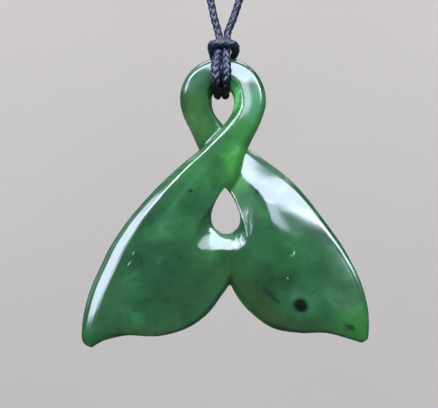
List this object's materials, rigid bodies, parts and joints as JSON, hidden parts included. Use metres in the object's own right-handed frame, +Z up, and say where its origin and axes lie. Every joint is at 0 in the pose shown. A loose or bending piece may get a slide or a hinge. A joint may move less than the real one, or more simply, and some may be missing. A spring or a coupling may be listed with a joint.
{
  "type": "greenstone whale tail pendant on a cord",
  "caption": "Polished greenstone pendant carved as a whale tail: a twisted eye, two flukes and a teardrop hole, hitched to a loop of dark cord worn round the neck.",
  "frame": {"origin": "underside of the knot at the nape, where the cord rests on the back of the neck", "axes": "+Z up, +X to the right as seen from the front, -Y towards the viewer, so the stone's front faces -Y"},
  "size_m": [0.121, 0.0088, 0.3518],
  "materials": {
    "greenstone": "polished, slightly translucent and mottled green",
    "cord": "tightly braided and waxed, blue-black with pale flecks"
  },
  "bodies": {
    "root": {"whale_tail": "greenstone", "cord_hitch": "cord", "cord_left": "cord", "cord_right": "cord", "neck_knot": "cord"}
  },
  "joints": []
}
